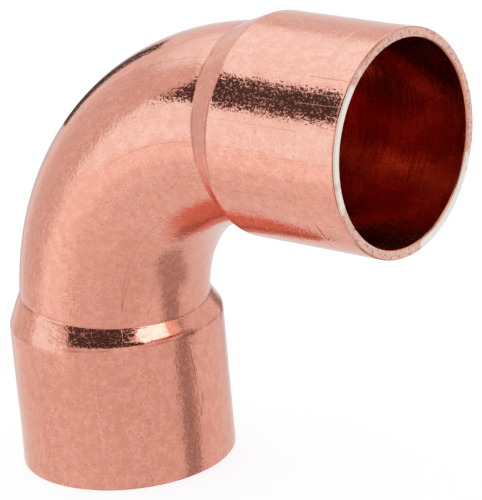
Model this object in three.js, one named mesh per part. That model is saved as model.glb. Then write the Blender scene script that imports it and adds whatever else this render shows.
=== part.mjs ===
// A 90 degree wrought copper elbow with two solder cups, formed from one length of tube.
//
// Frame, in millimetres: the origin is the centre of the inlet cup's mouth. The inlet cup
// rises along +Z, the tube bends towards +X, and the outlet cup opens to +X. The bend lies
// in the XZ plane, and Y is square to it.

import * as THREE from 'three';

// Driving dimensions.
const CUP_BORE = 15.98;          // takes a 15.88 mm (5/8 in) outside diameter tube, 1/2 in nominal
const WALL = 0.84;               // wall of the tube
const BEND_OD = 15.7;            // outside diameter of the bend, between the two cups
const BEND_RADIUS = 18.45;       // radius of the bend's centreline
const BEND_ANGLE = Math.PI / 2;
const CUP_LENGTH = 12.1;         // full-bore length of a cup, from its mouth to its shoulder
const SHOULDER_LENGTH = 2.0;     // cone between the cup and the bend, along the tube
const TANGENT_LENGTH = 12.4;     // straight length from the end of the bend to a mouth
const LIP_RADIUS = 0.14;         // edge break on both edges of a mouth's cut face
const CREASE_RADIUS = 1.1;       // rounding where the shoulder meets the cup and the bend

// Fineness of the faceted surface.
const SIDES = 48;
const BEND_STEPS = 14;
const CREASE_STEPS = 3;
const LIP_STEPS = 2;

// Worked out from the dimensions above.
const CUP_RADIUS = CUP_BORE / 2 + WALL;
const NECK_RADIUS = BEND_OD / 2;
const ARC_LENGTH = BEND_RADIUS * BEND_ANGLE;
const TUBE_LENGTH = ARC_LENGTH + 2 * TANGENT_LENGTH;

// Points of an arc that rounds the corner at `corner` between the directions to `before`
// and `after`. All are (radius, distance along the tube).
function roundedCorner(before, corner, after, radius, steps) {
  const toBefore = before.clone().sub(corner).normalize();
  const toAfter = after.clone().sub(corner).normalize();
  const halfAngle = Math.acos(toBefore.dot(toAfter)) / 2;
  const setback = radius / Math.tan(halfAngle);
  const start = corner.clone().addScaledVector(toBefore, setback);
  const end = corner.clone().addScaledVector(toAfter, setback);
  const toCentre = toBefore.clone().add(toAfter).normalize();
  const centre = corner.clone().addScaledVector(toCentre, radius / Math.sin(halfAngle));
  const startAngle = Math.atan2(start.y - centre.y, start.x - centre.x);
  const endAngle = Math.atan2(end.y - centre.y, end.x - centre.x);
  const sweep = Math.atan2(Math.sin(endAngle - startAngle), Math.cos(endAngle - startAngle));
  const points = [];
  for (let i = 0; i <= steps; i += 1) {
    const angle = startAngle + (sweep * i) / steps;
    points.push(new THREE.Vector2(
      centre.x + radius * Math.cos(angle),
      centre.y + radius * Math.sin(angle),
    ));
  }
  return points;
}

// One side of the wall, from the inlet mouth to the middle of the tube: cup, shoulder, bend.
// `inset` is how far the surface lies inside the outer one: 0 outside, the wall inside.
function halfWall(inset) {
  const cup = CUP_RADIUS - inset;
  const neck = NECK_RADIUS - inset;
  const mouthEdge = new THREE.Vector2(cup, 0);
  const acrossRim = new THREE.Vector2(CUP_RADIUS - WALL / 2, 0);
  const shoulderTop = new THREE.Vector2(cup, CUP_LENGTH);
  const shoulderFoot = new THREE.Vector2(neck, CUP_LENGTH + SHOULDER_LENGTH);
  const middle = new THREE.Vector2(neck, TUBE_LENGTH / 2);
  const bendStart = shoulderFoot.y + CREASE_RADIUS;
  const points = [
    ...roundedCorner(acrossRim, mouthEdge, shoulderTop, LIP_RADIUS, LIP_STEPS),
    ...roundedCorner(mouthEdge, shoulderTop, shoulderFoot, CREASE_RADIUS, CREASE_STEPS),
    ...roundedCorner(shoulderTop, shoulderFoot, middle, CREASE_RADIUS, CREASE_STEPS),
  ];
  const halfSteps = BEND_STEPS / 2;
  for (let i = 1; i <= halfSteps; i += 1) {
    points.push(new THREE.Vector2(neck, bendStart + ((middle.y - bendStart) * i) / halfSteps));
  }
  return points;
}

// The same side of the wall over the whole tube: the outlet half mirrors the inlet half.
function wholeWall(inset) {
  const inletHalf = halfWall(inset);
  const outletHalf = inletHalf
    .slice(0, -1)
    .reverse()
    .map((point) => new THREE.Vector2(point.x, TUBE_LENGTH - point.y));
  return [...inletHalf, ...outletHalf];
}

// The straight tube with its two cups: a closed wall section turned about the axis.
function straightTube() {
  const outside = wholeWall(0);
  const inside = wholeWall(WALL).reverse();
  const section = [...outside, ...inside, outside[0].clone()];
  return new THREE.LatheGeometry(section, SIDES);
}

// Where a point of the straight tube lies once the tube is bent. The tube's own axis is Y,
// and its +X side becomes the inside of the bend.
function bentPosition(point) {
  const along = THREE.MathUtils.clamp(point.y - TANGENT_LENGTH, 0, ARC_LENGTH);
  const angle = along / BEND_RADIUS;
  const straightOn = point.y - TANGENT_LENGTH - along;
  const forward = new THREE.Vector3(Math.sin(angle), 0, Math.cos(angle));
  const inward = new THREE.Vector3(Math.cos(angle), 0, -Math.sin(angle));
  const bendCentre = new THREE.Vector3(BEND_RADIUS, 0, TANGENT_LENGTH);
  return bendCentre
    .addScaledVector(inward, point.x - BEND_RADIUS)
    .addScaledVector(forward, straightOn)
    .add(new THREE.Vector3(0, -point.z, 0));
}

// Bends a straight tube's geometry in place.
function bend(geometry) {
  const positions = geometry.attributes.position;
  const point = new THREE.Vector3();
  for (let i = 0; i < positions.count; i += 1) {
    point.fromBufferAttribute(positions, i);
    const bent = bentPosition(point);
    positions.setXYZ(i, bent.x, bent.y, bent.z);
  }
  geometry.computeVertexNormals();
  return geometry;
}

function copper() {
  return new THREE.MeshStandardMaterial({ color: 0xd08a72, roughness: 0.38, metalness: 1.0 });
}

function elbowBody() {
  const mesh = new THREE.Mesh(bend(straightTube()), copper());
  mesh.name = 'elbow_body';
  return mesh;
}

const elbow = new THREE.Group();
elbow.add(elbowBody());

export default elbow;
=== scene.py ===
"""A copper solder elbow in a plain studio: its fine surface, its metal and its light.

Everything is in metres, in the CAD frame: the inlet cup rises along +Z from the origin, the
bend turns towards +X, and the outlet cup opens to +X.
"""

import math

import bpy
import numpy as np
from mathutils import Matrix, Vector


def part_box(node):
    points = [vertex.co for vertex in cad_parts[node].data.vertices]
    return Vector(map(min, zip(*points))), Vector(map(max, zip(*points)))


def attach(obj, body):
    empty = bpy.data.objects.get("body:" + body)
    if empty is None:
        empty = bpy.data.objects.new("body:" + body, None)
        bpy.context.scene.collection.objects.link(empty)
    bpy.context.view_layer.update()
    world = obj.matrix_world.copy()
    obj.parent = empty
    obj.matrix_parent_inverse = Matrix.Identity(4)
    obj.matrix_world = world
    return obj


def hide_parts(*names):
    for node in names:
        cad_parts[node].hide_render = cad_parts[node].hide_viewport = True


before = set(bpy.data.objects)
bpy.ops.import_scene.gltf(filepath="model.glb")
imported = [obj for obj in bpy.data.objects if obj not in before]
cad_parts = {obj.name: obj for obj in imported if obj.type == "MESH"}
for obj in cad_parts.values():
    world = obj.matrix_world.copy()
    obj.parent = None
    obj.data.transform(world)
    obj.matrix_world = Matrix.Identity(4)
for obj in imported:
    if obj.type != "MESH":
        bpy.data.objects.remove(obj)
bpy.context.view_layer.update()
BODY_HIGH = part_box("elbow_body")[1]

MM = 0.001

# The elbow's shape, from the frame's box and the dimensions that it is made to.
CUP_RADIUS = BODY_HIGH.y
REACH = BODY_HIGH.x                       # from one cup's axis to the other cup's mouth
BEND_RADIUS = 18.45 * MM
NECK_RADIUS = 7.85 * MM
WALL = 0.84 * MM
CUP_LENGTH = 12.1 * MM
SHOULDER_LENGTH = 2.0 * MM
TANGENT_LENGTH = REACH - BEND_RADIUS
ARC_LENGTH = BEND_RADIUS * math.pi / 2
TUBE_LENGTH = ARC_LENGTH + 2 * TANGENT_LENGTH

LIP_RADIUS = 0.2 * MM                     # rounding of the cut ends
LIP_UNCUT = 0.35                          # share of that rounding that the cut doesn't reach
CUP_CREASE = 1.0 * MM                     # rounding where the shoulder meets the cup
NECK_CREASE = 0.6 * MM                    # rounding where the shoulder meets the bend

# The marks that forming left in the outside, and its unevenness.
SIZING_MARK = 3.0 * MM                    # ring mark's distance from a mouth
SIZING_TAPER = 0.035 * MM                 # how much wider the sizing tool left the mouth
SIZING_JAWS = 3
JAW_ANGLE = math.radians(165)             # round the tube, to the middle of a jaw
RING_WIDTH = 0.13 * MM                    # half width of the ring mark
RING_MARGIN = 3 * RING_WIDTH              # half of the stretch that is meshed finely for it
RING_DEPTH = 0.025 * MM
TOP_GROOVE_WIDTH = 0.22 * MM              # half width of the groove at the shoulder's top
TOP_GROOVE_DEPTH = 0.012 * MM
FOOT_GROOVE_WIDTH = 0.18 * MM             # half width of the groove at the shoulder's foot
FOOT_GROOVE_DEPTH = 0.022 * MM
FLATTENING = 0.009                        # of the bend in its own plane, as a share of its radius
RIPPLE_DEPTH = 0.012 * MM                 # on average
CUT_DEPTH = 0.03 * MM                     # how far a cut end falls short of square at the most
CUT_REACH = 0.5 * MM                      # how far along the tube that is felt

# The mesh's rows. A cup's rows are those past its ring mark; a third as many lie before the mark
# and as many again across it. The bend's rows go from a shoulder to the middle of the bend.
OUTSIDE_CUP_ROWS = 36
OUTSIDE_BEND_ROWS = 60
BORE_CUP_ROWS = 9
BORE_BEND_ROWS = 40
RIM_ROWS = 3
SHOULDER_ROWS = 8
LIP_STEPS = 5
CUP_CREASE_STEPS = 6
NECK_CREASE_STEPS = 5
SIDES = 192                               # round the tube

# The mesh's material slots.
OUTSIDE_SLOT, CUT_SLOT, BORE_SLOT = range(3)

# Camera, in degrees, metres and, for the lens and sensor, millimetres.
VIEW_AZIMUTH = 40.5
VIEW_ELEVATION = 19.6
VIEW_ROLL = -5.0
VIEW_DISTANCE = 0.265
VIEW_TARGET = Vector((0.01287, 0.00125, 0.01917))
LENS = 241.3
SENSOR = 36.0


# ---------------------------------------------------------------- shape

def rounded_corner(before, corner, after, radius, steps):
    """Points of the arc that rounds a corner between the directions to two other points."""
    to_before = (before - corner).normalized()
    to_after = (after - corner).normalized()
    half_angle = to_before.angle(to_after) / 2
    start = corner + to_before * (radius / math.tan(half_angle))
    centre = corner + (to_before + to_after).normalized() * (radius / math.sin(half_angle))
    spoke = start - centre
    sweep = spoke.angle_signed(corner + to_after * (radius / math.tan(half_angle)) - centre)
    points = []
    for i in range(steps + 1):
        turn = Matrix.Rotation(-sweep * i / steps, 2)
        points.append(centre + turn @ spoke)
    return points


def half_wall(inset):
    """(radius, distance along the tube) from the middle of the rim to the middle of the tube."""
    cup = CUP_RADIUS - inset
    neck = NECK_RADIUS - inset
    rim_middle = Vector((CUP_RADIUS - WALL / 2, 0))
    mouth_edge = Vector((cup, 0))
    shoulder_top = Vector((cup, CUP_LENGTH))
    shoulder_foot = Vector((neck, CUP_LENGTH + SHOULDER_LENGTH))
    middle = Vector((neck, TUBE_LENGTH / 2))
    lip = rounded_corner(rim_middle, mouth_edge, shoulder_top, LIP_RADIUS, LIP_STEPS)
    top = rounded_corner(mouth_edge, shoulder_top, shoulder_foot, CUP_CREASE, CUP_CREASE_STEPS)
    foot = rounded_corner(shoulder_top, shoulder_foot, middle, NECK_CREASE, NECK_CREASE_STEPS)
    return [rim_middle, lip, top, foot, middle]


def evenly(start, end, count):
    """Points between two others, without either of them."""
    return [start.lerp(end, i / count) for i in range(1, count)]


def wall_side(inset, cup_rows, bend_rows):
    """One whole side of the wall, from the inlet's rim to the outlet's, as an array of points."""
    rim_middle, lip, top, foot, middle = half_wall(inset)
    ring_start = Vector((lip[-1].x, SIZING_MARK - RING_MARGIN))
    ring_end = Vector((lip[-1].x, SIZING_MARK + RING_MARGIN))
    points = [rim_middle] + evenly(rim_middle, lip[0], RIM_ROWS) + lip
    points += evenly(lip[-1], ring_start, cup_rows // 3) + [ring_start]
    points += evenly(ring_start, ring_end, cup_rows // 3) + [ring_end]
    points += evenly(ring_end, top[0], cup_rows) + top
    points += evenly(top[-1], foot[0], SHOULDER_ROWS) + foot
    points += evenly(foot[-1], middle, bend_rows)
    near = np.array([point[:] for point in points])
    far = near[::-1] * (1, -1) + (0, TUBE_LENGTH)
    return np.vstack([near, [middle[:]], far])


def bend_point(radius, along, angle):
    """Where points of the straight tube lie once it is bent. Angle 0 is the inside of the bend."""
    on_arc = np.clip(along - TANGENT_LENGTH, 0, ARC_LENGTH)
    turn = on_arc / BEND_RADIUS
    straight_on = along - TANGENT_LENGTH - on_arc
    inward = BEND_RADIUS - radius * np.cos(angle)
    x = BEND_RADIUS - inward * np.cos(turn) + straight_on * np.sin(turn)
    z = TANGENT_LENGTH + inward * np.sin(turn) + straight_on * np.cos(turn)
    y = -radius * np.sin(angle)
    return np.stack([x, y, z], axis=-1)


def bump_at(distance, width):
    """A smooth hump, 1 at distance 0 and nearly 0 a width away."""
    return np.exp(-(distance / width) ** 2 * 3)


def oval(along, angle):
    """How much the bend flattens in its own plane, as a share of its radius."""
    share = np.clip((along - TANGENT_LENGTH) / ARC_LENGTH, 0, 1)
    return -FLATTENING * np.sin(math.pi * share) ** 2 * np.cos(2 * angle)


def ripples(along, angle):
    """Low, broad unevenness left by the forming, in metres, never above zero."""
    turns = along / TUBE_LENGTH * 2 * math.pi
    height = (np.sin(2 * angle + 3.1 * turns + 0.4) + 0.7 * np.sin(3 * angle - 5.3 * turns)
              + 0.5 * np.sin(5 * angle + 8.2 * turns + 1.9) + 0.4 * np.cos(14.6 * turns + angle))
    highest = 2.6                         # the sum of the waves' heights
    return (height / highest - 1) * RIPPLE_DEPTH


def sizing_marks(along, angle):
    """The marks of the sizing tool's jaws, short of each mouth, and the taper that it left."""
    from_mouth = np.minimum(along, TUBE_LENGTH - along)
    jaws = np.clip(np.cos(SIZING_JAWS * (angle - JAW_ANGLE)), 0, 1)
    groove = bump_at(from_mouth - SIZING_MARK, RING_WIDTH) * jaws * RING_DEPTH
    taper = np.clip(from_mouth / SIZING_MARK, 0, 1) * SIZING_TAPER
    return -groove - taper


def die_lines(along):
    """Fine grooves where the forming die's edges met the shoulder, in metres."""
    from_mouth = np.minimum(along, TUBE_LENGTH - along)
    top = bump_at(from_mouth - CUP_LENGTH, TOP_GROOVE_WIDTH)
    foot = bump_at(from_mouth - CUP_LENGTH - SHOULDER_LENGTH, FOOT_GROOVE_WIDTH)
    return -(TOP_GROOVE_DEPTH * top + FOOT_GROOVE_DEPTH * foot)


def formed_radius(radius, along, angle, is_outside):
    """The radius of the formed tube: its ovality and ripples, and on the outside its tool marks."""
    tool_marks = sizing_marks(along, angle) + die_lines(along)
    bent = radius * (1 + oval(along, angle))
    return bent + np.where(is_outside, tool_marks, 0) + ripples(along, angle)


def cut_unevenness(angle):
    """How far the sawn and deburred rim falls short of square, in metres."""
    wave = 0.25 * np.sin(2 * angle + 0.8) + 0.15 * np.sin(5 * angle) + 0.1 * np.sin(11 * angle)
    return (0.5 + wave) * CUT_DEPTH


def elbow_mesh():
    """The elbow's whole surface, with its place on the straight tube as a point attribute."""
    outside = wall_side(0, OUTSIDE_CUP_ROWS, OUTSIDE_BEND_ROWS)
    inside = wall_side(WALL, BORE_CUP_ROWS, BORE_BEND_ROWS)[::-1][1:-1]
    angles = np.arange(SIDES) * 2 * math.pi / SIDES
    section = np.vstack([outside, inside])
    is_outside = np.arange(len(section)) < len(outside)
    rows = len(section)
    radius = np.repeat(section[:, :1], SIDES, axis=1)
    along = np.repeat(section[:, 1:], SIDES, axis=1)
    angle = np.repeat(angles[None, :], rows, axis=0)
    straight = np.stack([radius * np.cos(angle), radius * np.sin(angle), along], axis=-1)
    formed = formed_radius(radius, along, angle, is_outside[:, None])
    near_inlet = bump_at(along, CUT_REACH)
    near_outlet = bump_at(TUBE_LENGTH - along, CUT_REACH)
    formed_along = along + (near_inlet - near_outlet) * cut_unevenness(angle)
    verts = bend_point(formed, formed_along, angle).reshape(-1, 3)
    faces = []
    slots = []
    for row in range(rows):
        below = (row + 1) % rows
        middle = (section[row] + section[below]) / 2
        slots.append(surface_slot(middle, is_outside[row] and is_outside[below]))
        for side in range(SIDES):
            after = (side + 1) % SIDES
            faces.append((row * SIDES + side, row * SIDES + after,
                          below * SIDES + after, below * SIDES + side))
    mesh = bpy.data.meshes.new("elbow_copper")
    mesh.from_pydata(verts.tolist(), [], faces)
    mesh.polygons.foreach_set("material_index", np.repeat(slots, SIDES))
    coordinate = mesh.attributes.new("straight_tube", "FLOAT_VECTOR", "POINT")
    coordinate.data.foreach_set("vector", (straight / MM).ravel())
    mesh.update()
    mesh.shade_smooth()
    return mesh


def surface_slot(point, outside):
    """The material slot of a stretch of the wall, from its middle point."""
    radius, along = point
    from_mouth = min(along, TUBE_LENGTH - along)
    rim_radius = CUP_RADIUS - WALL / 2
    half_land = WALL / 2 - LIP_RADIUS * LIP_UNCUT
    if from_mouth < LIP_RADIUS and abs(radius - rim_radius) < half_land:
        return CUT_SLOT
    return OUTSIDE_SLOT if outside else BORE_SLOT


def add_elbow():
    elbow = bpy.data.objects.new("elbow_copper", elbow_mesh())
    bpy.context.scene.collection.objects.link(elbow)
    return elbow


# ---------------------------------------------------------------- materials

# The metals' colours, as linear red, green and blue, from the dark to the light end of each grain.
SATIN_COLOURS = ((0.8, 0.24, 0.16), (0.94, 0.34, 0.25))
DULL_COLOUR = (0.8, 0.26, 0.18)           # in the dull patches
MOTTLE_COLOUR = (0.72, 0.21, 0.14)
LINE_AND_SHADE_COLOUR = (0.3, 0.07, 0.045)          # in scratches and pits, and as painted shade in the creases
CUT_COLOURS = ((0.8, 0.36, 0.27), (0.93, 0.52, 0.42))
RIM_HIGHLIGHT_COLOUR = (1.0, 0.91, 0.8)         # painted highlight on two sides of each rim
CUT_PIT_COLOUR = (0.4, 0.14, 0.09)
BORE_COLOURS = ((0.78, 0.26, 0.15), (0.5, 0.1, 0.055))
EDGE_TINT = (1.0, 0.82, 0.76)             # of the satin copper seen edge-on

# Directions across the straight tube, to the sides of each rim where a highlight is painted.
RIM_HIGHLIGHT_SIDES = ((-0.3, 0.954, 0), (0.8, -0.6, 0))

# The dark lines on the outside, those in the creases and at the mouth's edge being painted shade:
# places and half widths in millimetres, and how dark they are.
SHOULDER_TOP = CUP_LENGTH / MM
SHOULDER_FOOT = (CUP_LENGTH + SHOULDER_LENGTH) / MM
FOOT_SHADE_WIDTH = 0.2
TOP_SHADE_WIDTH = 0.18
TOP_SHADE_STRENGTH = 0.9
MOUTH_SHADE_DISTANCE = 0.08                         # its distance from the mouth
MOUTH_SHADE_WIDTH = 0.1
DIE_SEAMS = (138, 97, 92, 61, -12, -75)   # degrees round a cup from the inside of the bend
SEAM_WIDTH = 0.06
SEAM_STRENGTH = 0.55
SEAM_FADE = (1.5, 0.5)                    # where a seam starts and ends fading, short of the shoulder
FOLD_ANGLE = 95                           # degrees round the bend, of the line its die left
FOLD_WIDTH = 0.09
FOLD_STRENGTH = 0.6
FOLD_RISE = (28.0, 33.0)                  # along the tube, where that line comes up
FOLD_FADE = 0.8                           # how far from the shoulder it starts to fade


def new_material(name):
    material = bpy.data.materials.new(name)
    material.use_nodes = True
    return material, material.node_tree, material.node_tree.nodes["Principled BSDF"]


def math_node(tree, operation, *values):
    """The result of an operation on numbers, sockets or both."""
    node = tree.nodes.new("ShaderNodeMath")
    node.operation = operation
    for socket, value in zip(node.inputs, values):
        if isinstance(value, (int, float)):
            socket.default_value = value
        else:
            tree.links.new(value, socket)
    return node.outputs[0]


def vector_node(tree, operation, vector, constant=(0, 0, 0)):
    node = tree.nodes.new("ShaderNodeVectorMath")
    node.operation = operation
    tree.links.new(vector, node.inputs[0])
    node.inputs[1].default_value = constant
    return node


def dot_node(tree, vector, axis):
    return vector_node(tree, "DOT_PRODUCT", vector, axis).outputs["Value"]


def tube_coordinate(tree, scale):
    """The place on the tube before it was bent, in millimetres, times a scale for each axis."""
    attribute = tree.nodes.new("ShaderNodeAttribute")
    attribute.attribute_name = "straight_tube"
    return vector_node(tree, "MULTIPLY", attribute.outputs["Vector"], scale).outputs["Vector"]


def noise(tree, scale, detail=2.0, roughness=0.5):
    """Noise of about scale lumps a millimetre along each axis."""
    node = tree.nodes.new("ShaderNodeTexNoise")
    tree.links.new(tube_coordinate(tree, scale), node.inputs["Vector"])
    node.inputs["Scale"].default_value = 1.0
    node.inputs["Detail"].default_value = detail
    node.inputs["Roughness"].default_value = roughness
    return node.outputs["Fac"]


def remap(tree, value, from_low, from_high, to_low=0.0, to_high=1.0):
    """Smoothly takes values from one range to another, and stays level outside it."""
    node = tree.nodes.new("ShaderNodeMapRange")
    node.interpolation_type = "SMOOTHSTEP"
    tree.links.new(value, node.inputs["Value"])
    node.inputs["From Min"].default_value = from_low
    node.inputs["From Max"].default_value = from_high
    node.inputs["To Min"].default_value = to_low
    node.inputs["To Max"].default_value = to_high
    return node.outputs["Result"]


def mix_colour(tree, share, low, high):
    """The colour that is a share of the way from low to high. Each is a tuple or a socket."""
    node = tree.nodes.new("ShaderNodeMix")
    node.data_type = "RGBA"
    tree.links.new(share, node.inputs["Factor"])
    colour_inputs = [socket for socket in node.inputs if socket.type == "RGBA"]
    for socket, colour in zip(colour_inputs, (low, high)):
        if isinstance(colour, tuple):
            socket.default_value = (*colour, 1)
        else:
            tree.links.new(colour, socket)
    return next(socket for socket in node.outputs if socket.type == "RGBA")


def thin_lines(tree, scale, width):
    """1 on thin lines, where a noise crosses its middle value, and 0 elsewhere."""
    field = noise(tree, scale, 1.0, 0.4)
    from_middle = math_node(tree, "ABSOLUTE", math_node(tree, "SUBTRACT", field, 0.5))
    return remap(tree, from_middle, 0, width, 1, 0)


def line_at(tree, value, place, half_width):
    """1 where the value is at the place, falling to 0 a half width away."""
    off = math_node(tree, "ABSOLUTE", math_node(tree, "SUBTRACT", value, place))
    return remap(tree, off, 0, half_width, 1, 0)


def crease_shade_lines(tree, from_mouth):
    """Painted shade: broken dark rings in the creases at the shoulder's foot and top, and at the
    mouth's edge.
    """
    foot = line_at(tree, from_mouth, SHOULDER_FOOT, FOOT_SHADE_WIDTH)
    mouth = line_at(tree, from_mouth, MOUTH_SHADE_DISTANCE, MOUTH_SHADE_WIDTH)
    top = line_at(tree, from_mouth, SHOULDER_TOP, TOP_SHADE_WIDTH)
    rings = math_node(tree, "MAXIMUM", foot, mouth)
    rings = math_node(tree, "MAXIMUM", rings, math_node(tree, "MULTIPLY", top, TOP_SHADE_STRENGTH))
    return math_node(tree, "MULTIPLY", rings, remap(tree, noise(tree, (0.3, 0.3, 0.3)), 0.4, 0.6))


def seam_lines(tree, angle, from_mouth):
    """Broken lines along the cups, where the parts of the die met."""
    half_width = SEAM_WIDTH * MM / CUP_RADIUS
    seams = 0.0
    for seam in DIE_SEAMS:
        seams = math_node(tree, "MAXIMUM", line_at(tree, angle, math.radians(seam), half_width), seams)
    fade_start, fade_end = (SHOULDER_TOP - distance for distance in SEAM_FADE)
    on_cup = remap(tree, from_mouth, fade_start, fade_end, SEAM_STRENGTH, 0)
    seams = math_node(tree, "MULTIPLY", seams, on_cup)
    return math_node(tree, "MULTIPLY", seams, remap(tree, noise(tree, (0.5, 0.5, 0.14)), 0.4, 0.56))


def fold_line(tree, angle, along, from_mouth):
    """The line along the side of the bend."""
    line = line_at(tree, angle, math.radians(FOLD_ANGLE), FOLD_WIDTH * MM / NECK_RADIUS)
    line = math_node(tree, "MULTIPLY", line, FOLD_STRENGTH)
    line = math_node(tree, "MULTIPLY", line, remap(tree, along, *FOLD_RISE))
    on_bend = remap(tree, from_mouth, SHOULDER_FOOT, SHOULDER_FOOT + FOLD_FADE)
    return math_node(tree, "MULTIPLY", line, on_bend)


def forming_lines_and_crease_shade(tree):
    """1 on the dark lines that forming left and on the painted shade in the creases, and 0 elsewhere.
    """
    place = tube_coordinate(tree, (1, 1, 1))
    along = dot_node(tree, place, (0, 0, 1))
    from_outlet = math_node(tree, "SUBTRACT", TUBE_LENGTH / MM, along)
    from_mouth = math_node(tree, "MINIMUM", along, from_outlet)
    sideways = dot_node(tree, place, (0, 1, 0))
    inwards = dot_node(tree, place, (1, 0, 0))
    angle = math_node(tree, "ARCTAN2", sideways, inwards)
    lines = math_node(tree, "MAXIMUM", crease_shade_lines(tree, from_mouth),
                      seam_lines(tree, angle, from_mouth))
    return math_node(tree, "MAXIMUM", lines, fold_line(tree, angle, along, from_mouth))


def bump(tree, height, depth, after=None):
    """Raises the surface by depth metres times height."""
    node = tree.nodes.new("ShaderNodeBump")
    node.inputs["Strength"].default_value = 1.0
    node.inputs["Distance"].default_value = depth
    tree.links.new(height, node.inputs["Height"])
    if after is not None:
        tree.links.new(after, node.inputs["Normal"])
    return node.outputs["Normal"]


def satin_copper():
    """Drawn, bent and pickled copper: leathery grain, draw lines, scratches and dull patches, with
    painted shade in the creases.
    """
    material, tree, shader = new_material("satin_copper")
    patches = noise(tree, (0.25, 0.25, 0.18), 3.0, 0.55)
    mottle = noise(tree, (1.5, 1.5, 1.3), 2.0, 0.5)
    grain = noise(tree, (4.2, 4.2, 4.2), 1.0, 0.4)
    specks = noise(tree, (5.5, 5.5, 5.5), 1.0, 0.5)
    streaks = noise(tree, (3.5, 3.5, 0.1), 1.0, 0.5)
    long_lines = math_node(tree, "MULTIPLY", thin_lines(tree, (0.55, 0.55, 0.012), 0.0022),
                           remap(tree, noise(tree, (0.4, 0.4, 0.11)), 0.5, 0.56))
    short_lines = math_node(tree, "MULTIPLY", thin_lines(tree, (1.7, 1.7, 0.05), 0.006),
                            remap(tree, noise(tree, (0.9, 0.9, 0.35)), 0.58, 0.64))
    scratches = math_node(tree, "MAXIMUM", long_lines, math_node(tree, "MULTIPLY", short_lines, 0.6))
    # Scratches and the die's marks, with the painted shade in the creases and at the mouth's edge.
    lines = math_node(tree, "MAXIMUM", scratches, forming_lines_and_crease_shade(tree))

    clean = mix_colour(tree, remap(tree, specks, 0.3, 0.7), *SATIN_COLOURS)
    dulled = mix_colour(tree, remap(tree, patches, 0.45, 0.75, 0.0, 0.8), clean, DULL_COLOUR)
    mottled = mix_colour(tree, remap(tree, mottle, 0.35, 0.65, 0.6, 0.0), dulled, MOTTLE_COLOUR)
    pits = remap(tree, noise(tree, (4.6, 4.6, 4.6), 0.0), 0.72, 0.8)
    marks_and_crease_shade = math_node(tree, "MAXIMUM", math_node(tree, "MULTIPLY", lines, 0.75),
                      math_node(tree, "MULTIPLY", pits, 0.4))
    colour = mix_colour(tree, marks_and_crease_shade, mottled, LINE_AND_SHADE_COLOUR)
    tree.links.new(colour, shader.inputs["Base Color"])

    rough = math_node(tree, "ADD", remap(tree, patches, 0.35, 0.7, 0.06, 0.1),
                      remap(tree, specks, 0.5, 0.66, 0.0, 0.2))
    tree.links.new(rough, shader.inputs["Roughness"])
    shader.inputs["Metallic"].default_value = 1.0
    shader.inputs["Specular Tint"].default_value = (*EDGE_TINT, 1)
    shader.inputs["Coat Weight"].default_value = 0.45
    shader.inputs["Coat Roughness"].default_value = 0.12

    normal = bump(tree, grain, 0.013 * MM)
    normal = bump(tree, mottle, 0.016 * MM, normal)
    normal = bump(tree, streaks, 0.004 * MM, normal)
    normal = bump(tree, lines, -0.01 * MM, normal)
    tree.links.new(normal, shader.inputs["Normal"])
    return material


def cut_copper():
    """The sawn and deburred rim: pink and pitted, with a painted highlight, pale and unpitted, on two
    sides of each rim.
    """
    material, tree, shader = new_material("cut_copper")
    grain = noise(tree, (4.5, 4.5, 4.5), 3.0, 0.7)
    flat_place = tube_coordinate(tree, (1, 1, 0))
    spoke = vector_node(tree, "NORMALIZE", flat_place).outputs["Vector"]
    towards = [dot_node(tree, spoke, axis) for axis in RIM_HIGHLIGHT_SIDES]
    # A painted highlight: pale colour on the sides of each rim that face these directions.
    highlight_facing = math_node(tree, "ADD", math_node(tree, "MAXIMUM", *towards),
                        math_node(tree, "MULTIPLY", noise(tree, (0.8, 0.8, 0.8)), 0.5))
    rim_highlight = remap(tree, highlight_facing, 1.05, 1.16)
    pits = math_node(tree, "MULTIPLY", remap(tree, noise(tree, (3.2, 3.2, 3.2), 2.0), 0.56, 0.64),
                     math_node(tree, "SUBTRACT", 1.0, rim_highlight))

    pink = mix_colour(tree, remap(tree, grain, 0.35, 0.65), *CUT_COLOURS)
    clean = mix_colour(tree, rim_highlight, pink, RIM_HIGHLIGHT_COLOUR)
    colour = mix_colour(tree, math_node(tree, "MULTIPLY", pits, 0.6), clean, CUT_PIT_COLOUR)
    tree.links.new(colour, shader.inputs["Base Color"])
    tree.links.new(remap(tree, grain, 0.3, 0.7, 0.18, 0.3), shader.inputs["Roughness"])
    shader.inputs["Metallic"].default_value = 1.0
    normal = bump(tree, grain, 0.012 * MM)
    tree.links.new(bump(tree, pits, -0.02 * MM, normal), shader.inputs["Normal"])
    return material


def bore_copper():
    """The inside of the tube, darkened by annealing, with marks round it from the mandrel."""
    material, tree, shader = new_material("bore_copper")
    patches = noise(tree, (0.3, 0.3, 0.25), 3.0, 0.6)
    grain = noise(tree, (4.0, 4.0, 4.0), 3.0, 0.7)
    rings = noise(tree, (0.2, 0.2, 2.6), 2.0, 0.6)
    colour = mix_colour(tree, remap(tree, patches, 0.38, 0.62), *BORE_COLOURS)
    tree.links.new(colour, shader.inputs["Base Color"])
    tree.links.new(remap(tree, grain, 0.3, 0.7, 0.14, 0.28), shader.inputs["Roughness"])
    shader.inputs["Metallic"].default_value = 1.0
    normal = bump(tree, grain, 0.012 * MM)
    normal = bump(tree, rings, 0.028 * MM, normal)
    tree.links.new(normal, shader.inputs["Normal"])
    return material


# ---------------------------------------------------------------- studio

def direction(azimuth, elevation):
    """Azimuth 0 is -Y and 90 is +X; elevation is above the horizon. Both in degrees."""
    turn = math.radians(azimuth)
    rise = math.radians(elevation)
    return Vector((math.sin(turn) * math.cos(rise), -math.cos(turn) * math.cos(rise), math.sin(rise)))


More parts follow.
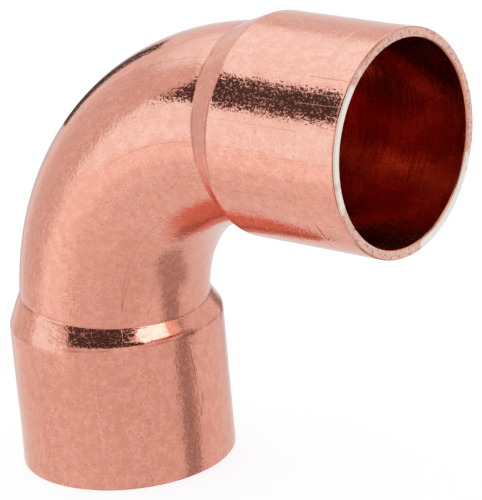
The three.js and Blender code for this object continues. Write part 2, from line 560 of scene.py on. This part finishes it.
# Panels of the studio's light tent, as seen from the elbow: where each one is, its half width
# and half height, its tilt, the width of its soft edge, all in degrees, and how bright it is.
# Each one covers those before it.
PANELS = (
    # azimuth, elevation, half width, half height, tilt, edge, brightness
    (65, -45, 35, 30, 0, 20, 1.15),         # the floor, a little darker on the right
    (84, -38, 11, 8, 0, 8, 1.35),           # a lighter strip of it, beside the shade
    (-48, -38, 28, 22, 0, 14, 1.5),         # the floor, lighter on the left
    (-90, -22, 22, 10, 0, 10, 1.5),         # the same, further round
    (-38, -12, 20, 12, 0, 8, 1.95),         # the floor below the low soft box
    (-41, 8, 20, 16, 0, 3, 2.35),           # large soft box, low on the left
    (-114, 10, 18, 28, 0, 14, 1.38),        # bright side wall
    (-108, 39, 18, 12, 0, 8, 2.1),          # glow under the soft box above the bend
    (-100, 62, 45, 16, 0, 2, 2.4),          # soft box above the bend
    (-116, 50, 12, 8, 0, 6, 2.5),           # its hottest corner
    (94, 58, 16, 18, 0, 2.5, 2.8),          # soft box above the outlet
    (-84, 6, 19, 25, 0, 8, 1.15),           # pale side wall on the left
    (-124, -8, 8, 14, 0, 8, 0.9),           # grey side wall, further round
    (-49.5, 33.5, 11, 11.5, 0, 1.5, 0.09),  # dark flag over the low soft box
    (25, 43, 37, 13, 0, 2, 0.08),           # dark gap above the camera
    (122, 25, 10, 40, 0, 8, 0.55),          # grey side flag
    (117, -38, 10.5, 42, -10, 9, 0.52),     # its shade on the floor
    (136, -62, 15, 16, 0, 10, 0.6),         # the darker floor behind
    (154, -14, 20, 16, 0, 10, 1.3),         # pale wall behind
    (-168, 0, 8, 20, 0, 5, 0.45),           # grey flag behind
)
TENT_BRIGHTNESS = 1.24                    # where there is no panel
SOFT_BOX_BRIGHTNESS = 2.0                 # panels brighter than this are soft boxes
NEUTRAL_WHITE = (1, 1, 1)
COOL_WHITE = (0.86, 1.03, 1.1)            # the soft boxes' daylight

BACKDROP_BRIGHTNESS = 4.0                 # what the camera sees behind the elbow
FLOOR_SIZE = 6.0
FLOOR_COLOUR = (0.9, 0.9, 0.9)
FLOOR_GLOW = 1.1

# Small lights in the crook of the elbow, facing down at the inlet's shoulder: x, y and z of each
# one's centre and its sizes along x and y, in millimetres, and how bright it is.
CROOK_CARDS = (
    (11.6, -3.65, 17.5, 2.4, 5.3, 5.0),
    (12.2, 0.4, 17.5, 2.4, 2.8, 0.9),
)

# A grey card on the floor beside the inlet, for the floor in the elbow's own shade.
SHADE_AZIMUTH = -40.0
SHADE_CENTRE = direction(SHADE_AZIMUTH, 0) * 22 * MM + Vector((0, 0, 0.1 * MM))
SHADE_SIZE = (52 * MM, 46 * MM)
SHADE_EDGE = (0.3, 0.5)                   # where its edge starts and ends, as shares of its size
SHADE_BRIGHTNESS = 1.32

# A narrow dark stand behind the bend, which leans.
STAND_AZIMUTH = -122.0
STAND_CENTRE = Vector((-10.9, 7.4, 34.6)) * MM
STAND_LEAN = 27.0                         # degrees from upright
STAND_SIZE = (6.0 * MM, 16.0 * MM)
STAND_BRIGHTNESS = 0.07

# The view's tone curve, a film-like roll-off: (1 - exp(-ROLL_OFF * light)) / ROLL_OFF.
ROLL_OFF = 0.8
CURVE_WHITE = 4.0                         # the light at the curve's end
CURVE_STEPS = 12


def soft_limit(tree, value, limit, edge):
    """1 while an angle is below the limit, falling to 0 across an edge. Both are in degrees."""
    return remap(tree, value, math.radians(limit - edge / 2), math.radians(limit + edge / 2), 1, 0)


def panel_mask(tree, vector, azimuth, elevation, half_width, half_height, tilt, edge):
    """1 towards a panel and 0 away from it. A tilted panel's top leans to greater azimuths."""
    facing = direction(azimuth, elevation)
    level = Vector((0, 0, 1)).cross(facing).normalized()
    lean = Matrix.Rotation(math.radians(-tilt), 3, facing)
    right = lean @ level
    up = lean @ facing.cross(level)
    ahead = dot_node(tree, vector, facing)
    across = math_node(tree, "ARCTAN2", dot_node(tree, vector, right), ahead)
    height = math_node(tree, "ARCTAN2", dot_node(tree, vector, up), ahead)
    inside_width = soft_limit(tree, math_node(tree, "ABSOLUTE", across), half_width, edge)
    inside_height = soft_limit(tree, math_node(tree, "ABSOLUTE", height), half_height, edge)
    return math_node(tree, "MULTIPLY", inside_width, inside_height)


def light_tent():
    """The world: a white tent with soft boxes and flags round the elbow, hidden from the camera."""
    world = bpy.data.worlds.new("light_tent")
    bpy.context.scene.world = world
    world.use_nodes = True
    tree = world.node_tree
    vector = tree.nodes.new("ShaderNodeTexCoord").outputs["Generated"]
    brightness = TENT_BRIGHTNESS
    coolness = 0.0
    for *place, panel in PANELS:
        mask = panel_mask(tree, vector, *place)
        step = math_node(tree, "SUBTRACT", panel, brightness)
        brightness = math_node(tree, "MULTIPLY_ADD", mask, step, brightness)
        if panel > SOFT_BOX_BRIGHTNESS:
            coolness = math_node(tree, "MAXIMUM", mask, coolness)
    background = tree.nodes["Background"]
    camera_ray = tree.nodes.new("ShaderNodeLightPath").outputs["Is Camera Ray"]
    rest = math_node(tree, "SUBTRACT", 1.0, camera_ray)
    lit = math_node(tree, "MULTIPLY", brightness, rest)
    plain = math_node(tree, "MULTIPLY", camera_ray, BACKDROP_BRIGHTNESS)
    tree.links.new(math_node(tree, "ADD", lit, plain), background.inputs["Strength"])
    cool = math_node(tree, "MULTIPLY", coolness, rest)
    tree.links.new(mix_colour(tree, cool, NEUTRAL_WHITE, COOL_WHITE), background.inputs["Color"])


def add_crook_card(x, y, z, width, length, brightness):
    """A small light that faces down."""
    data = bpy.data.lights.new("crook_card", "AREA")
    data.shape = "RECTANGLE"
    data.size = width * MM
    data.size_y = length * MM
    data.energy = brightness * math.pi * data.size * data.size_y
    card = bpy.data.objects.new("crook_card", data)
    bpy.context.scene.collection.objects.link(card)
    card.location = Vector((x, y, z)) * MM
    card.visible_camera = False


def add_hidden_card(name, centre, turn, size, brightness):
    """A flat card that is seen only in the copper. Returns its node tree and shader."""
    bpy.ops.mesh.primitive_plane_add(size=1)
    card = bpy.context.object
    card.name = name
    card.location = centre
    card.rotation_euler = turn.to_euler()
    card.scale = (*size, 1)
    card.visible_camera = False
    card.visible_diffuse = False
    card.visible_shadow = False
    material, tree, shader = new_material(name)
    shader.inputs["Base Color"].default_value = (0, 0, 0, 1)
    shader.inputs["Specular IOR Level"].default_value = 0.0
    shader.inputs["Emission Color"].default_value = (1, 1, 1, 1)
    shader.inputs["Emission Strength"].default_value = brightness
    card.data.materials.append(material)
    return tree, shader


def add_shade_card():
    """The grey card, with a soft round edge."""
    turn = Matrix.Rotation(math.radians(SHADE_AZIMUTH), 3, "Z")
    tree, shader = add_hidden_card("shade_card", SHADE_CENTRE, turn, SHADE_SIZE, SHADE_BRIGHTNESS)
    place = tree.nodes.new("ShaderNodeTexCoord").outputs["Object"]
    from_centre = vector_node(tree, "LENGTH", place).outputs["Value"]
    tree.links.new(remap(tree, from_centre, *SHADE_EDGE, 1, 0), shader.inputs["Alpha"])


def add_stand():
    """The dark stand, as a card that faces the bend."""
    facing = direction(STAND_AZIMUTH, 0)
    level = Vector((0, 0, 1)).cross(facing)
    lean = Matrix.Rotation(math.radians(STAND_LEAN), 3, facing)
    turn = lean @ Matrix((level, Vector((0, 0, 1)), facing)).transposed()
    add_hidden_card("stand", STAND_CENTRE, turn, STAND_SIZE, STAND_BRIGHTNESS)


def add_floor():
    """The floor, which takes the elbow's shade. In reflections the tent stands in for it."""
    bpy.ops.mesh.primitive_plane_add(size=FLOOR_SIZE)
    floor = bpy.context.object
    floor.name = "floor"
    floor.visible_glossy = False
    material, _, shader = new_material("white_floor")
    shader.inputs["Base Color"].default_value = (*FLOOR_COLOUR, 1)
    shader.inputs["Emission Color"].default_value = (1, 1, 1, 1)
    shader.inputs["Emission Strength"].default_value = FLOOR_GLOW
    shader.inputs["Roughness"].default_value = 1.0
    shader.inputs["Specular IOR Level"].default_value = 0.0
    floor.data.materials.append(material)


def tone_point(share):
    """The curve's point at a share of its white: that share, and the brightness shown there."""
    return share, min(1.0, (1 - math.exp(-ROLL_OFF * share * CURVE_WHITE)) / ROLL_OFF)


def set_tone_curve():
    """Gives the view a film-like roll-off, so that bright copper pales instead of clipping."""
    view = bpy.context.scene.view_settings
    view.view_transform = "Standard"
    view.use_curve_mapping = True
    mapping = view.curve_mapping
    mapping.use_clip = True
    mapping.white_level = (CURVE_WHITE, CURVE_WHITE, CURVE_WHITE)
    points = mapping.curves[3].points
    points[0].location = tone_point(0)
    points[-1].location = tone_point(1)
    for i in range(1, CURVE_STEPS):
        points.new(*tone_point((i / CURVE_STEPS) ** 2))
    mapping.update()


def add_camera():
    data = bpy.data.cameras.new("camera")
    data.sensor_width = SENSOR
    data.lens = LENS
    data.clip_start = 0.01
    data.clip_end = 20
    camera = bpy.data.objects.new("camera", data)
    bpy.context.scene.collection.objects.link(camera)
    back = direction(VIEW_AZIMUTH, VIEW_ELEVATION)
    upright = back.to_track_quat("Z", "Y").to_matrix()
    turned = Matrix.Rotation(math.radians(VIEW_ROLL), 3, back) @ upright
    camera.rotation_euler = turned.to_euler()
    camera.location = VIEW_TARGET + back * VIEW_DISTANCE
    bpy.context.scene.camera = camera


# ---------------------------------------------------------------- scene

elbow = add_elbow()
for material in (satin_copper(), cut_copper(), bore_copper()):      # in the order of the slots
    elbow.data.materials.append(material)
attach(elbow, "root")
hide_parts("elbow_body")
add_floor()
light_tent()
for crook_card in CROOK_CARDS:
    add_crook_card(*crook_card)
add_shade_card()
add_stand()
set_tone_curve()
add_camera()
